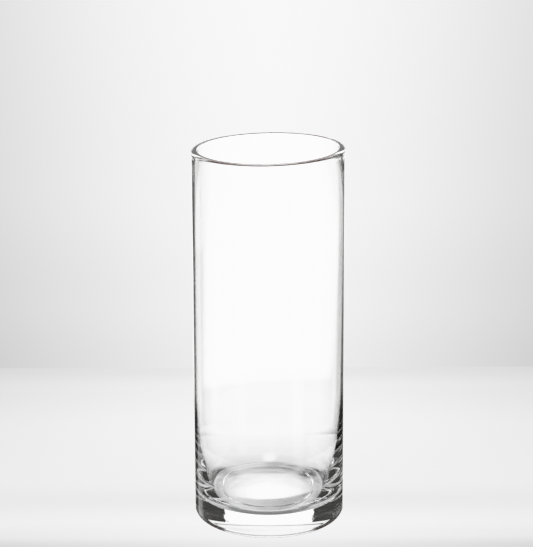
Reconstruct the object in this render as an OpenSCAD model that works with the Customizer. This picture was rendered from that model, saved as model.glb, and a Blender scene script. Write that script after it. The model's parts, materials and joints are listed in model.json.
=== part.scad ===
// A clear glass cylinder vase: one blown piece of glass, turned about the Z axis.
// Millimetres. +Z is up, and the origin is the centre of the ring that the vase stands on.

/* [Overall] */
// Height, from the standing ring to the top of the rim
height = 255; // [220:1:320]
// Outside diameter just above the heel
foot_d = 101.4; // [90:0.1:130]
// How much narrower the outside is just under the rim
draft = 1.2; // [0:0.1:3]

/* [Wall] */
// Thickness of the wall halfway up, where it is thinnest
wall_t = 1.3; // [1.1:0.1:3]
// Height over which the wall thickens again towards the rim
taper_h = 100; // [20:5:100]
// How late in that height the thickening comes (1 is even)
taper_power = 4; // [1:0.5:6]
// How far the inside curves in from the straight wall to the flat floor
swell_w = 10.5; // [7:0.5:12]
// Height above which the inside is straight
swell_h = 90; // [60:1:110]

/* [Rim] */
// Thickness of the fire-polished lip
rim_t = 4; // [3.4:0.1:5]
// Height of the lip's rounding outside its crest
lip_h = 1.8; // [1:0.1:4]
// Width and height of the lip's tighter rounding inside its crest
lip_in = 0.6; // [0.4:0.1:1.5]
// How far the lip stands proud of the wall outside
rim_proud = 0.3; // [0:0.1:1]
// Height of the swelling outside, below the lip's widest line
bead_h = 3; // [2:0.5:10]
// Height of the straight land inside the mouth
land_h = 3; // [2:0.5:6]

/* [Base] */
// Thickness of the glass from the standing ring's plane to the inside floor
base_t = 15; // [10:0.5:20]
// Radius of the rounded heel
heel_r = 5.5; // [3:0.1:8]
// Inner radius of the flat ring that the vase stands on
ring_r = 34; // [28:0.5:36]
// Height of the hollow in the underside at its centre
push_up = 0.6; // [0.4:0.1:3]

/* [Hidden] */
$fn = 128;
arc_steps = 12;
sweep_steps = 32;
foot_r = foot_d / 2;
neck_r = foot_r - draft / 2;
inner_r = (foot_r + neck_r) / 2 - wall_t;
lip_r = neck_r + rim_proud;
mouth_r = lip_r - rim_t;
crest_r = mouth_r + lip_in;
lip_z = height - lip_h;
land_z = height - lip_in - land_h;

// Points of an ellipse's arc about [x, z], with half axes rx and rz, from angle a to angle b.
function arc(x, z, rx, rz, a, b, steps) =
    [for (i = [0 : steps]) let (t = a + (b - a) * i / steps) [x + rx * cos(t), z + rz * sin(t)]];

// Points of an S-curve from one point to another, upright at both ends.
function ease(from, to, steps) =
    [for (i = [0 : steps]) let (t = i / steps)
        [from[0] + (to[0] - from[0]) * (1 - cos(180 * t)) / 2, from[1] + (to[1] - from[1]) * t]];

// The shallow dome of the underside, from its centre out to the standing ring.
function underside() =
    [for (i = [0 : arc_steps]) let (t = i / arc_steps) [ring_r * t, push_up * (1 - t * t)]];

// The outside, from the standing ring round the heel and up to the lip's widest line.
function outside() = concat(
    arc(foot_r - heel_r, heel_r, heel_r, heel_r, -90, 0, arc_steps),
    ease([neck_r, lip_z - bead_h], [lip_r, lip_z], arc_steps));

// The lip, over its crest from the outside to the land inside.
function lip() = concat(
    arc(crest_r, lip_z, rim_t - lip_in, lip_h, 0, 90, arc_steps),
    arc(crest_r, height - lip_in, lip_in, lip_in, 90, 180, arc_steps));

// The taper inside, from the land down to where the wall is thinnest.
function taper() =
    [for (i = [0 : sweep_steps]) let (t = i / sweep_steps)
        [inner_r - (inner_r - mouth_r) * pow(1 - t, taper_power), land_z - taper_h * t]];

// The inside, from the land down the wall, round the corner and across the floor.
function inside() = concat(
    taper(),
    arc(inner_r - swell_w, swell_h, swell_w, swell_h - base_t, 0, -90, sweep_steps),
    [[0, base_t]]);

module glass_body() {
    color([0.86, 0.92, 0.90, 0.35])
        rotate_extrude()
            polygon(concat(underside(), outside(), lip(), inside()));
}

glass_body();
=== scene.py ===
"""A clear glass cylinder vase, blown in one piece, standing on a pale studio floor. Metres, +Z up."""

import json
import math

import bpy
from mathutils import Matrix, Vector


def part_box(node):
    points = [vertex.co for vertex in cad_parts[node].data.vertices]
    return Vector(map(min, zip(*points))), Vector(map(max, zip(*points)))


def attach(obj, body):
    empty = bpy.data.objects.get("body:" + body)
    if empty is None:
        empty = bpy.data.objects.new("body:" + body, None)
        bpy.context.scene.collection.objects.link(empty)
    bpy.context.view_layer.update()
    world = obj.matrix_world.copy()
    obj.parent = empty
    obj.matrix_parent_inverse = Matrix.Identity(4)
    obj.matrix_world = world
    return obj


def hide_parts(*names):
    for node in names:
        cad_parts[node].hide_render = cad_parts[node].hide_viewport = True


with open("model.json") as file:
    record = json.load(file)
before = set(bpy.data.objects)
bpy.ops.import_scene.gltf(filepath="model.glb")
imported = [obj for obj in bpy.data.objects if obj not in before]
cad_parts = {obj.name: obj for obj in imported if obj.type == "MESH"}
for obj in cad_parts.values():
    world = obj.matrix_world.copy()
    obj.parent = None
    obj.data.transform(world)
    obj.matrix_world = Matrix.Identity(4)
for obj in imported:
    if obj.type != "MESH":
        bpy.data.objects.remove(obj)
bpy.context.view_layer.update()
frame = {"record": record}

# The vase's size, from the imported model.
NODE = "glass_body"
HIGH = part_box(NODE)[1]
HEIGHT = HIGH.z
FOOT_R = HIGH.x
MOUTH = next(m for m in frame["record"]["mounts"] if m["name"] == "mouth")
MOUTH_R = MOUTH["dims"]["r_mm"] / 1000
LAND_H = MOUTH["dims"]["length_mm"] / 1000

# The vase's profile, as the CAD part has it.
DRAFT = 0.0012
WALL_T = 0.0013
SWELL_W = 0.0105
SWELL_H = 0.09
RIM_T = 0.004
LIP_H = 0.0018
LIP_IN = 0.0006
BEAD_H = 0.003
TAPER_H = 0.1
TAPER_POWER = 4
BASE_T = 0.015
HEEL_R = 0.0055
RING_R = 0.034
PUSH_UP = 0.0006

# What forming leaves, which the CAD part doesn't have. RIM_LIFT is how far the rim is off level: all of
# it, its right and its back, and LIFT_POWER is how late up the wall that comes. LEAN is how fast the
# inside's axis drifts to the right above LEAN_Z, and LEAN_POWER is how late it comes back under the rim.
# A LIP_POWER below 1 makes the lip's rounding squarer. FLOOR_RING is a faint raised ring round the inside
# floor: radius, height, half width.
RIM_LIFT = (-0.0001, 0.0009, -0.00015)
LIFT_POWER = 4
LEAN = 0.0045
LEAN_Z = 0.12
LEAN_POWER = 8
LIP_POWER = 0.7
FLOOR_RING = (0.0333, 0.00055, 0.0012)

# How finely the mesh is cut: round the vase, and along each part of its profile.
SEGMENTS = 512
HOLLOW_STEPS = 40
RING_STEPS = 8
ARC_STEPS = 24
OUTSIDE_STEPS = 60
BEAD_STEPS = 16
LAND_STEPS = 6
TAPER_STEPS = 60
INSIDE_STEPS = 16
SWELL_STEPS = 96
FLOOR_STEPS = 200


def arc(x, z, r, start, end, steps):
    """Points of a circle's arc about (x, z), between two angles in degrees."""
    angles = [math.radians(start + (end - start) * i / steps) for i in range(steps + 1)]
    return [(x + r * math.cos(a), z + r * math.sin(a)) for a in angles]


def ease(start, end, steps):
    """Points of an S-curve from start to end, upright at both ends."""
    points = []
    for i in range(steps + 1):
        t = i / steps
        s = (1 - math.cos(math.pi * t)) / 2
        points.append((start[0] + (end[0] - start[0]) * s, start[1] + (end[1] - start[1]) * t))
    return points


def straight(start, end, steps):
    """Points between start and end, without either."""
    shares = [i / steps for i in range(1, steps)]
    return [(start[0] + (end[0] - start[0]) * t, start[1] + (end[1] - start[1]) * t) for t in shares]


def lip_arc(width, height, start, end):
    """A quarter of the lip, from its side at 0 or 180 degrees to its crest at 90."""
    crest_r = MOUTH_R + LIP_IN
    points = []
    for x, y in arc(0, 0, 1, start, end, ARC_STEPS):
        points.append((crest_r + width * math.copysign(abs(x) ** LIP_POWER, x),
                       HEIGHT - height + height * abs(y) ** LIP_POWER))
    return points


def outside_profile():
    """Radius and height from the middle of the underside, round the heel and up to the lip's top."""
    neck_r = FOOT_R - DRAFT / 2
    lip_r = MOUTH_R + RIM_T
    lip_z = HEIGHT - LIP_H
    hollow = []
    for i in range(1, HOLLOW_STEPS + 1):
        hollow.append((RING_R * i / HOLLOW_STEPS, PUSH_UP * (1 - (i / HOLLOW_STEPS) ** 2)))
    ring = straight((RING_R, 0), (FOOT_R - HEEL_R, 0), RING_STEPS)
    heel = arc(FOOT_R - HEEL_R, HEEL_R, HEEL_R, -90, 0, ARC_STEPS)
    wall = straight((FOOT_R, HEEL_R), (neck_r, lip_z - BEAD_H), OUTSIDE_STEPS)
    bead = ease((neck_r, lip_z - BEAD_H), (lip_r, lip_z), BEAD_STEPS)
    lip = lip_arc(RIM_T - LIP_IN, LIP_H, 0, 90)
    return hollow + ring + heel + wall + bead + lip[1:]


def ring_height(r):
    """How far the floor's ring stands up at a radius."""
    ring_r, height, half = FLOOR_RING
    across = min(abs(r - ring_r) / half, 1)
    return height * (1 + math.cos(math.pi * across)) / 2


def inside_profile():
    """Radius and height from just past the lip's top, down the inside and across to the floor's middle."""
    lip_z = HEIGHT - LIP_IN
    inner_r = FOOT_R - DRAFT / 4 - WALL_T
    land_z = lip_z - LAND_H
    lip = lip_arc(LIP_IN, LIP_IN, 90, 180)
    land = straight((MOUTH_R, lip_z), (MOUTH_R, land_z), LAND_STEPS)
    taper = []
    for i in range(TAPER_STEPS + 1):
        share = 1 - i / TAPER_STEPS
        taper.append((inner_r - (inner_r - MOUTH_R) * share ** TAPER_POWER, land_z - TAPER_H * (1 - share)))
    wall = straight((inner_r, land_z - TAPER_H), (inner_r, SWELL_H), INSIDE_STEPS)
    swell = []
    for i in range(SWELL_STEPS + 1):
        turn = math.radians(90 * i / SWELL_STEPS)
        r = inner_r - SWELL_W * (1 - math.cos(turn))
        swell.append((r, SWELL_H - (SWELL_H - BASE_T) * math.sin(turn) + ring_height(r)))
    floor_r = inner_r - SWELL_W
    flat = straight((floor_r, BASE_T), (0, BASE_T), FLOOR_STEPS)
    floor = [(r, z + ring_height(r)) for r, z in flat]
    return lip[1:] + land + taper + wall + swell + floor


def lean(z):
    """How far the inside's axis is off to the right at a height."""
    return LEAN * (z - LEAN_Z) * (1 - (z / HEIGHT) ** LEAN_POWER)


def lathe(name, outside, inside):
    """A closed mesh turned about Z from two profiles that meet at the lip's top, with a pole at each end."""
    points = outside + inside
    verts = [(0, 0, outside[0][1])]
    level, right, back = RIM_LIFT
    for k, (r, z) in enumerate(points):
        share = (z / HEIGHT) ** LIFT_POWER
        shift = lean(z) if k >= len(outside) else 0
        for i in range(SEGMENTS):
            a = 2 * math.pi * i / SEGMENTS
            lift = share * (level + (right * math.cos(a) + back * math.sin(a)) * r / FOOT_R)
            verts.append((r * math.cos(a) + shift, r * math.sin(a), z + lift))
    verts.append((lean(inside[-1][1]), 0, inside[-1][1]))
    last = len(verts) - 1
    faces = []
    for i in range(SEGMENTS):
        j = (i + 1) % SEGMENTS
        faces.append((0, 1 + j, 1 + i))
        for k in range(len(points) - 1):
            a, b = 1 + k * SEGMENTS, 1 + (k + 1) * SEGMENTS
            faces.append((a + i, a + j, b + j, b + i))
        a = 1 + (len(points) - 1) * SEGMENTS
        faces.append((a + i, a + j, last))
    mesh = bpy.data.meshes.new(name)
    mesh.from_pydata(verts, [], faces)
    mesh.validate()
    mesh.polygons.foreach_set("use_smooth", [True] * len(mesh.polygons))
    mesh.update()
    piece = bpy.data.objects.new(name, mesh)
    bpy.context.scene.collection.objects.link(piece)
    return piece


# How strongly the glass bends light, and its own tint, as the colour it keeps over a long way and how fast it
# darkens per metre.
GLASS_IOR = 1.52
DEPTH_COLOR = (0.5, 0.56, 0.53, 1)
DEPTH_DENSITY = 1.5
# The faint waves that blowing leaves in the wall, longer up the wall than round it, and a trace of haze: how
# much light the glass lets through where the haze is full.
WAVE_SCALE = (22, 22, 6)
WAVE_DETAIL = 1
WAVE_DEPTH = 0.00004
HAZE_SCALE = 30
HAZE = 0.985


def wave_normal(tree, place):
    """The faint waves in the surface. Returns the normal."""
    stretch = tree.nodes.new("ShaderNodeMapping")
    stretch.inputs["Scale"].default_value = WAVE_SCALE
    tree.links.new(place, stretch.inputs["Vector"])
    waves = tree.nodes.new("ShaderNodeTexNoise")
    waves.inputs["Scale"].default_value = 1
    waves.inputs["Detail"].default_value = WAVE_DETAIL
    tree.links.new(stretch.outputs[0], waves.inputs["Vector"])
    bump = tree.nodes.new("ShaderNodeBump")
    bump.inputs["Distance"].default_value = WAVE_DEPTH
    tree.links.new(waves.outputs[0], bump.inputs["Height"])
    return bump.outputs[0]


def glass_material():
    """Clear soda-lime glass: polished, faintly wavy, with a trace of haze and a grey-green depth."""
    material = bpy.data.materials.new("clear_glass")
    material.use_nodes = True
    shader = material.node_tree.nodes["Principled BSDF"]
    shader.inputs["Transmission Weight"].default_value = 1
    shader.inputs["IOR"].default_value = GLASS_IOR
    shader.inputs["Roughness"].default_value = 0
    tree = material.node_tree
    place = tree.nodes.new("ShaderNodeTexCoord").outputs["Object"]
    tree.links.new(wave_normal(tree, place), shader.inputs["Normal"])
    haze = tree.nodes.new("ShaderNodeTexNoise")
    haze.inputs["Scale"].default_value = HAZE_SCALE
    tree.links.new(place, haze.inputs["Vector"])
    tree.links.new(blend_node(tree, haze.outputs[0], 1, HAZE), shader.inputs["Base Color"])
    depth = tree.nodes.new("ShaderNodeVolumeAbsorption")
    depth.inputs["Color"].default_value = DEPTH_COLOR
    depth.inputs["Density"].default_value = DEPTH_DENSITY
    tree.links.new(depth.outputs[0], tree.nodes["Material Output"].inputs["Volume"])
    return material


# The stage: a pale floor and a pale wall behind the vase, which only the camera sees. Both glow with painted
# light, a pool of it in the middle and painted shade towards the sides. Their paint goes from the middle's
# brightness to the sides' at SIDE_X, a little later than evenly with a SIDE_POWER above 1, and on to PLAIN
# between FADE_START and FADE_END.
FLOOR_Z = -0.0002
FLOOR_HALF = 4
WALL_Y = 0.3
WALL_HALF = 0.9
WALL_TOP = 0.9
PLAIN = 0.82
SIDE_X = 0.222
SIDE_POWER = 1.15
FADE_START = 0.3
FADE_END = 0.8

# Brightness of the floor's painted light and shade from front to back, as (y, level) in the middle and at
# SIDE_X, set to go as the photograph's floor does.
FLOOR_MIDDLE = [(-0.2, 0.86), (-0.06, 0.83), (-0.04, 0.95), (-0.02, 0.99), (0.02, 0.86),
                (0.05, 0.94), (0.17, 1.0), (0.25, 0.95), (0.29, 0.85)]
FLOOR_SIDES = [(-0.2, 0.8), (-0.06, 0.61), (-0.04, 0.8), (-0.02, 0.86), (0.02, 0.82),
               (0.06, 0.85), (0.15, 0.83), (0.25, 0.76), (0.3, 0.67)]
# Brightness of the wall's painted light and shade from the floor up, as (z, level).
WALL_MIDDLE = [(0, 0.92), (0.06, 0.98), (0.16, 1.05), (0.35, 1.1)]
WALL_SIDES = [(0, 0.6), (0.06, 0.65), (0.16, 0.71), (0.35, 0.74)]

# The room as the glass sees it: a dark studio, browner far down, with bright sheets in it. Each sheet has
# a bearing, a half-width and a soft edge in degrees (bearing 0 is +Y, 90 is +X), its lowest and highest
# slope (the z of a unit direction), a brightness, and how ragged its upright edges are. UP is the
# brightness of the band high behind the vase, and SIDE is that of the narrow sheets at -45, 135 and -90
# degrees.
ROOM_DARK = (0.047, 0.046, 0.044)
DEEP_DARK = (0.07, 0.03, 0.023)
DEEP_START, DEEP_FULL = -0.45, -0.55
UP = 0.5
SIDE = 0.9
RAGGED = 0.1
SHEETS = [
    (0, 27, 2, 0.3, 1.0, 1.8, RAGGED),
    (0, 27, 2, 0.15, 0.3, UP, RAGGED),
    (0, 27, 2, 0.02, 0.15, 1.8, RAGGED),
    (0, 14, 2, -0.28, 0.08, 1.42, 0),
    (0, 15, 2.5, -0.48, 0.02, 1.22, 0),
    (0, 4, 6, -0.36, 0.02, 1.8, 0),
    (-45, 8, 3, -0.56, 0.02, SIDE, 0),
    (135, 8, 3, -0.45, 0.02, SIDE, 0),
    (-90, 8, 3, -0.35, 0.25, SIDE, 0),
]
SLOPE_SOFT = 0.03
RAGGED_SCALE = 25
NOISE_MIDDLE = 0.5

# The table close to the vase, which only the glass sees. Its levels were set for the photograph's view,
# and stand in for the shadow and the light patches that a real vase throws on its table. From the axis
# outwards, as (radius, level): lit through the glass in the middle, shaded where the foot stands, and
# brighter further out. TABLE_TURN is the angle between the corners of the table's disc, in degrees.
TABLE_R = 0.118
TABLE_TURN = 5
TABLE_LEVELS = [(0, 1.5), (0.012, 1.3), (0.02, 0.98), (0.027, 0.76), (0.033, 0.56),
                (0.04, 0.42), (0.046, 0.5), (0.052, 0.78), (0.06, 0.87), (0.07, 0.95),
                (0.08, 1.05), (0.1, 1.13), (0.118, 1.2)]
# The crescent of shade under the front of the floor: its level from left to right as (x, level), where its
# curved back edge starts and is full, how that edge bends and leans, and its outer radius and softness.
CRESCENT = [(-0.03, 0.6), (-0.012, 0.5), (0, 0.34), (0.013, 0.27), (0.028, 0.12)]
CRESCENT_START, CRESCENT_FULL = 0.0095, 0.0135
CRESCENT_BEND = 8
CRESCENT_LEAN = 0.06
CRESCENT_R = 0.0295
CRESCENT_SOFT = 0.001
# The shade where the front of the foot stands: its level, how far in front of the axis it starts and is
# full, and how soft its outer edge at BACK_OUT is.
FOOT_SHADE = 0.2
FOOT_START, FOOT_FULL = 0.029, 0.036
FOOT_SOFT = 0.006
# The painted shade and light behind the foot: its inner and outer radius and their softness, how far behind
# the axis it starts and is full, and its strength at BACK_HALF to the left (brighter, painted light) and to
# the right (darker, painted shade).
BACK_IN, BACK_OUT = 0.032, 0.056
BACK_IN_SOFT, BACK_OUT_SOFT = 0.006, 0.008
BACK_START, BACK_FULL = 0, 0.02
BACK_HALF = 0.03
BACK_LEFT, BACK_RIGHT = 1.12, 0.8
# Soft patches of painted shade under the back of the foot, and a small patch of painted light behind it that
# the base spreads over its lower window, as (x, y, half width, half depth, level). Each is full inside
# PATCH_FULL of its half sizes.
PATCHES = [
    (-0.037, 0.034, 0.014, 0.014, 0.27),
    (0.005, 0.046, 0.012, 0.012, 0.34),
    (0.017, 0.04, 0.01, 0.01, 0.1),
    (0.031, 0.03, 0.015, 0.015, 0.0),
    (0.001, 0.068, 0.008, 0.016, 1.2),
]
PATCH_FULL = 0.25
# How mottled the table's painted light and shade is, and how finely.
MOTTLE = 0.12
MOTTLE_SCALE = 160

# Where a Mix node has its two colours and its result.
MIX_A, MIX_B, MIX_OUT = 6, 7, 2


def math_node(tree, operation, a, b=0):
    """A Math node whose inputs are sockets or numbers. Returns its output."""
    node = tree.nodes.new("ShaderNodeMath")
    node.operation = operation
    for socket, value in zip(node.inputs, (a, b)):
        if isinstance(value, (int, float)):
            socket.default_value = value
        else:
            tree.links.new(value, socket)
    return node.outputs[0]


def distance_node(tree, x, y):
    """The length of a flat vector. Returns the output."""
    join = tree.nodes.new("ShaderNodeCombineXYZ")
    tree.links.new(x, join.inputs["X"])
    tree.links.new(y, join.inputs["Y"])
    length = tree.nodes.new("ShaderNodeVectorMath")
    length.operation = "LENGTH"
    tree.links.new(join.outputs[0], length.inputs[0])
    return length.outputs["Value"]


def step_node(tree, value, low, high):
    """0 below low, 1 above high and a smooth step between. Returns the output."""
    node = tree.nodes.new("ShaderNodeMapRange")
    node.interpolation_type = "SMOOTHSTEP"
    tree.links.new(value, node.inputs["Value"])
    node.inputs["From Min"].default_value = low
    node.inputs["From Max"].default_value = high
    return node.outputs["Result"]


def ramp_node(tree, value, stops):
    """A curve through (value, level) stops. Returns the output."""
    low, high = stops[0][0], stops[-1][0]
    scale = tree.nodes.new("ShaderNodeMapRange")
    tree.links.new(value, scale.inputs["Value"])
    scale.inputs["From Min"].default_value = low
    scale.inputs["From Max"].default_value = high
    ramp = tree.nodes.new("ShaderNodeValToRGB")
    ramp.color_ramp.interpolation = "EASE"
    marks = ramp.color_ramp.elements
    marks[0].position, marks[1].position = 0, 1
    marks[0].color = (stops[0][1],) * 3 + (1,)
    marks[1].color = (stops[-1][1],) * 3 + (1,)
    for place, level in stops[1:-1]:
        marks.new((place - low) / (high - low)).color = (level,) * 3 + (1,)
    tree.links.new(scale.outputs["Result"], ramp.inputs["Fac"])
    return ramp.outputs["Color"]


def blend_node(tree, share, a, b):
    """a where share is 0 and b where it is 1, each a socket, a level or a colour. Returns the output."""
    node = tree.nodes.new("ShaderNodeMix")
    node.data_type = "RGBA"
    tree.links.new(share, node.inputs["Factor"])
    for socket, value in ((node.inputs[MIX_A], a), (node.inputs[MIX_B], b)):
        if isinstance(value, (int, float)):
            socket.default_value = (value, value, value, 1)
        elif isinstance(value, tuple):
            socket.default_value = value + (1,)
        else:
            tree.links.new(value, socket)
    return node.outputs[MIX_OUT]


def painted_light_material(name, axis, middle, sides):
    """A painted-light glow that varies along an axis and towards the sides, even far away, and see-through
    from behind.
    """
    material = bpy.data.materials.new(name)
    material.use_nodes = True
    tree = material.node_tree
    tree.nodes.clear()
    place = tree.nodes.new("ShaderNodeTexCoord")
    split = tree.nodes.new("ShaderNodeSeparateXYZ")
    tree.links.new(place.outputs["Object"], split.inputs[0])
    along = split.outputs[axis]
    aside = math_node(tree, "ABSOLUTE", split.outputs["X"])
    share = math_node(tree, "MINIMUM", math_node(tree, "DIVIDE", aside, SIDE_X), 1)
    level = blend_node(tree, math_node(tree, "POWER", share, SIDE_POWER), ramp_node(tree, along, middle),
                       ramp_node(tree, along, sides))
    far = math_node(tree, "MAXIMUM", aside, math_node(tree, "ABSOLUTE", along))
    level = blend_node(tree, step_node(tree, far, FADE_START, FADE_END), level, PLAIN)
    glow = tree.nodes.new("ShaderNodeEmission")
    tree.links.new(level, glow.inputs["Color"])
    clear = tree.nodes.new("ShaderNodeBsdfTransparent")
    side = tree.nodes.new("ShaderNodeNewGeometry")
    mix = tree.nodes.new("ShaderNodeMixShader")
    tree.links.new(side.outputs["Backfacing"], mix.inputs[0])
    tree.links.new(glow.outputs[0], mix.inputs[1])
    tree.links.new(clear.outputs[0], mix.inputs[2])
    out = tree.nodes.new("ShaderNodeOutputMaterial")
    tree.links.new(mix.outputs[0], out.inputs["Surface"])
    return material


def crescent_paint(tree, x, y, away, level):
    """The level with the crescent of shade under the front of the floor."""
    bend = math_node(tree, "MULTIPLY", math_node(tree, "MULTIPLY", x, x), CRESCENT_BEND)
    edge = math_node(tree, "ADD", bend, math_node(tree, "MULTIPLY", x, CRESCENT_LEAN))
    front = step_node(tree, math_node(tree, "SUBTRACT", edge, y), CRESCENT_START, CRESCENT_FULL)
    inside = step_node(tree, away, CRESCENT_R + CRESCENT_SOFT, CRESCENT_R - CRESCENT_SOFT)
    return blend_node(tree, math_node(tree, "MULTIPLY", front, inside), level, ramp_node(tree, x, CRESCENT))


def foot_paint(tree, y, away, level):
    """The level with the shade where the front of the foot stands."""
    before = step_node(tree, math_node(tree, "MULTIPLY", y, -1), FOOT_START, FOOT_FULL)
    near = step_node(tree, away, BACK_OUT, BACK_OUT - FOOT_SOFT)
    return blend_node(tree, math_node(tree, "MULTIPLY", before, near), level, FOOT_SHADE)


def patch_paint(tree, x, y, level, patch):
    """The level with one soft oval patch: painted shade where its level is low, painted light where it is
    high.
    """
    patch_x, patch_y, half_x, half_y, patch_level = patch
    across = math_node(tree, "DIVIDE", math_node(tree, "SUBTRACT", x, patch_x), half_x)
    along = math_node(tree, "DIVIDE", math_node(tree, "SUBTRACT", y, patch_y), half_y)
    off = distance_node(tree, across, along)
    return blend_node(tree, step_node(tree, off, 1, PATCH_FULL), level, patch_level)


def back_strength(tree, x, y, away):
    """How much brighter (painted light to the left) and darker (painted shade to the right) the table is
    behind the foot.
    """
    ring = math_node(tree, "MULTIPLY", step_node(tree, away, BACK_IN - BACK_IN_SOFT, BACK_IN),
                     step_node(tree, away, BACK_OUT, BACK_OUT - BACK_OUT_SOFT))
    behind = math_node(tree, "MULTIPLY", ring, step_node(tree, y, BACK_START, BACK_FULL))
    side = ramp_node(tree, x, [(-BACK_HALF, BACK_LEFT), (BACK_HALF, BACK_RIGHT)])
    return blend_node(tree, behind, 1, side)


def table_material():
    """The table's painted light under and round the vase, with its painted shades."""
    material = bpy.data.materials.new("table_painted_light_and_shade")
    material.use_nodes = True
    tree = material.node_tree
    tree.nodes.clear()
    place = tree.nodes.new("ShaderNodeTexCoord").outputs["Object"]
    split = tree.nodes.new("ShaderNodeSeparateXYZ")
    tree.links.new(place, split.inputs[0])
    x, y = split.outputs["X"], split.outputs["Y"]
    away = distance_node(tree, x, y)
    level = ramp_node(tree, away, TABLE_LEVELS)
    level = crescent_paint(tree, x, y, away, level)
    level = foot_paint(tree, y, away, level)
    for patch in PATCHES:
        level = patch_paint(tree, x, y, level, patch)
    mottle = tree.nodes.new("ShaderNodeTexNoise")
    tree.links.new(place, mottle.inputs["Vector"])
    mottle.inputs["Scale"].default_value = MOTTLE_SCALE
    light_mottle = math_node(tree, "MULTIPLY", math_node(tree, "SUBTRACT", mottle.outputs[0], NOISE_MIDDLE), MOTTLE)
    strength = math_node(tree, "ADD", back_strength(tree, x, y, away), light_mottle)
    glow = tree.nodes.new("ShaderNodeEmission")
    tree.links.new(level, glow.inputs["Color"])
    tree.links.new(strength, glow.inputs["Strength"])
    out = tree.nodes.new("ShaderNodeOutputMaterial")
    tree.links.new(glow.outputs[0], out.inputs["Surface"])
    return material


def mesh_object(name, verts, faces, material):
    """A new object of a mesh with one material."""
    mesh = bpy.data.meshes.new(name)
    mesh.from_pydata(verts, [], faces)
    mesh.materials.append(material)
    piece = bpy.data.objects.new(name, mesh)
    bpy.context.scene.collection.objects.link(piece)
    return piece


def stage_piece(name, verts, material, seen_by):
    """A flat piece of the stage, seen only by one kind of ray."""
    piece = mesh_object(name, verts, [tuple(range(len(verts)))], material)
    for kind in ("camera", "diffuse", "glossy", "transmission", "volume_scatter", "shadow"):
        setattr(piece, "visible_" + kind, kind == seen_by)


def make_stage():
    """The floor and the wall for the camera, and the table for the glass."""
    half = FLOOR_HALF
    corners = [(-half, -half, FLOOR_Z), (half, -half, FLOOR_Z), (half, half, FLOOR_Z), (-half, half, FLOOR_Z)]
    stage_piece("floor", corners, painted_light_material("floor_painted_light", "Y", FLOOR_MIDDLE, FLOOR_SIDES), "camera")
    half = WALL_HALF
    corners = [(-half, WALL_Y, FLOOR_Z), (half, WALL_Y, FLOOR_Z),
               (half, WALL_Y, WALL_TOP), (-half, WALL_Y, WALL_TOP)]
    stage_piece("wall", corners, painted_light_material("wall_painted_light", "Z", WALL_MIDDLE, WALL_SIDES), "camera")
    rim = [(TABLE_R * math.cos(math.radians(a)), TABLE_R * math.sin(math.radians(a)), FLOOR_Z)
           for a in range(0, 360, TABLE_TURN)]
    stage_piece("table_near", rim, table_material(), "transmission")


def sheet_light(tree, flat, slope, wobble, sheet):
    """How bright one sheet is in each direction, with wobble moving its upright edges."""
    bearing, half, soft, low, high, strength, ragged = sheet
    toward = tree.nodes.new("ShaderNodeVectorMath")
    toward.operation = "DOT_PRODUCT"
    tree.links.new(flat, toward.inputs[0])
    toward.inputs[1].default_value = (math.sin(math.radians(bearing)), math.cos(math.radians(bearing)), 0)
    across = math_node(tree, "ADD", toward.outputs["Value"], math_node(tree, "MULTIPLY", wobble, ragged))
    edge = step_node(tree, across, math.cos(math.radians(half + soft)),
                     math.cos(math.radians(max(half - soft, 0))))
    bottom = step_node(tree, slope, low - SLOPE_SOFT, low + SLOPE_SOFT)
    top = step_node(tree, slope, high + SLOPE_SOFT, high - SLOPE_SOFT)
    light = math_node(tree, "MULTIPLY", edge, strength)
    return math_node(tree, "MULTIPLY", math_node(tree, "MULTIPLY", light, bottom), top)


def room_light(tree):
    """The room's colour in each direction: the dark, browner far down, and the brightest sheet's light."""
    place = tree.nodes.new("ShaderNodeTexCoord")
    flatten = tree.nodes.new("ShaderNodeVectorMath")
    flatten.operation = "MULTIPLY"
    tree.links.new(place.outputs["Generated"], flatten.inputs[0])
    flatten.inputs[1].default_value = (1, 1, 0)
    unit = tree.nodes.new("ShaderNodeVectorMath")
    unit.operation = "NORMALIZE"
    tree.links.new(flatten.outputs[0], unit.inputs[0])
    split = tree.nodes.new("ShaderNodeSeparateXYZ")
    tree.links.new(place.outputs["Generated"], split.inputs[0])
    slope = split.outputs["Z"]
    noise = tree.nodes.new("ShaderNodeTexNoise")
    tree.links.new(place.outputs["Generated"], noise.inputs["Vector"])
    noise.inputs["Scale"].default_value = RAGGED_SCALE
    wobble = math_node(tree, "SUBTRACT", noise.outputs[0], NOISE_MIDDLE)
    total = 0.0
    for sheet in SHEETS:
        total = math_node(tree, "MAXIMUM", sheet_light(tree, unit.outputs[0], slope, wobble, sheet), total)
    dark = blend_node(tree, step_node(tree, slope, DEEP_START, DEEP_FULL), ROOM_DARK, DEEP_DARK)
    add = tree.nodes.new("ShaderNodeVectorMath")
    add.operation = "ADD"
    tree.links.new(total, add.inputs[0])
    tree.links.new(dark, add.inputs[1])
    return add.outputs[0]


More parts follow.
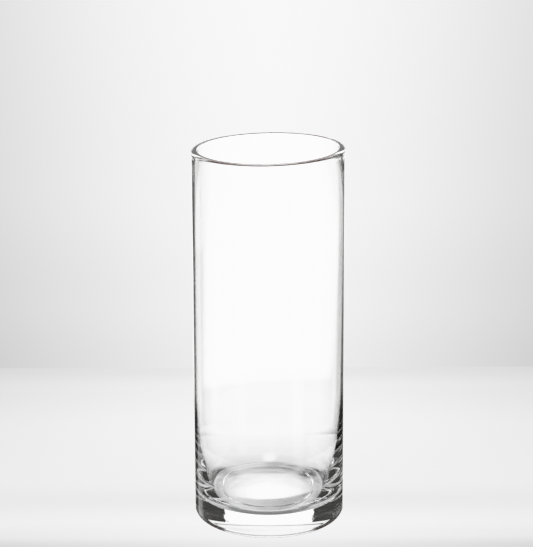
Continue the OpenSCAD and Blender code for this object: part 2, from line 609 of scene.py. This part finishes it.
def make_world():
    """The room for the glass, and a plain pale surround for the camera."""
    world = bpy.data.worlds.new("studio")
    bpy.context.scene.world = world
    world.use_nodes = True
    tree = world.node_tree
    tree.nodes.clear()
    seen = tree.nodes.new("ShaderNodeBackground")
    seen.inputs["Color"].default_value = (PLAIN, PLAIN, PLAIN, 1)
    room = tree.nodes.new("ShaderNodeBackground")
    tree.links.new(room_light(tree), room.inputs["Color"])
    path = tree.nodes.new("ShaderNodeLightPath")
    mix = tree.nodes.new("ShaderNodeMixShader")
    out = tree.nodes.new("ShaderNodeOutputWorld")
    tree.links.new(path.outputs["Is Camera Ray"], mix.inputs[0])
    tree.links.new(room.outputs[0], mix.inputs[1])
    tree.links.new(seen.outputs[0], mix.inputs[2])
    tree.links.new(mix.outputs[0], out.inputs["Surface"])


# The camera stands in front of the vase and looks down a little. Angles are in degrees, and the lens and its
# sensor in millimetres.
CAMERA_BACK = 1.238
CAMERA_UP = 0.533
CAMERA_SIDE = -0.00126
CAMERA_PITCH = 16.36
CAMERA_ROLL = -0.2
LENS = 128.1
SENSOR = 36
CLIP_START, CLIP_END = 0.05, 30


def make_camera():
    """The photograph's viewpoint."""
    data = bpy.data.cameras.new("camera")
    data.lens = LENS
    data.sensor_width = SENSOR
    data.clip_start = CLIP_START
    data.clip_end = CLIP_END
    camera = bpy.data.objects.new("camera", data)
    bpy.context.scene.collection.objects.link(camera)
    camera.location = (CAMERA_SIDE, -CAMERA_BACK, CAMERA_UP)
    camera.rotation_euler = (math.radians(90 - CAMERA_PITCH), 0, 0)
    camera.rotation_euler.rotate_axis("Z", math.radians(CAMERA_ROLL))
    bpy.context.scene.camera = camera


# The tone curve, as (light in, light out): even up to its first stop, and softer above. TONE_END is its
# last input.
TONE_FIRST = (0.8, 0.8)
TONE_STOPS = [(1.05, 0.93), (1.5, 0.97), (3, 0.98)]
TONE_END = 3
# How often light may bounce or pass through the glass.
GLASS_BOUNCES = 24
GLOSSY_BOUNCES = 16


def set_look():
    """The tone curve, and enough bounces for the thick base."""
    scene = bpy.context.scene
    scene.view_settings.view_transform = "Standard"
    scene.view_settings.look = "None"
    scene.view_settings.use_curve_mapping = True
    curves = scene.view_settings.curve_mapping
    curves.clip_max_x = TONE_END
    curves.clip_max_y = TONE_END
    combined = curves.curves[3]
    combined.points[1].location = TONE_FIRST
    for level_in, level_out in TONE_STOPS:
        combined.points.new(level_in, level_out)
    curves.update()
    scene.cycles.max_bounces = GLASS_BOUNCES
    scene.cycles.transmission_bounces = GLASS_BOUNCES
    scene.cycles.glossy_bounces = GLOSSY_BOUNCES


vase = lathe("vase", outside_profile(), inside_profile())
vase.data.materials.append(glass_material())
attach(vase, "root")
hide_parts(NODE)

make_stage()
make_world()
make_camera()
set_look()
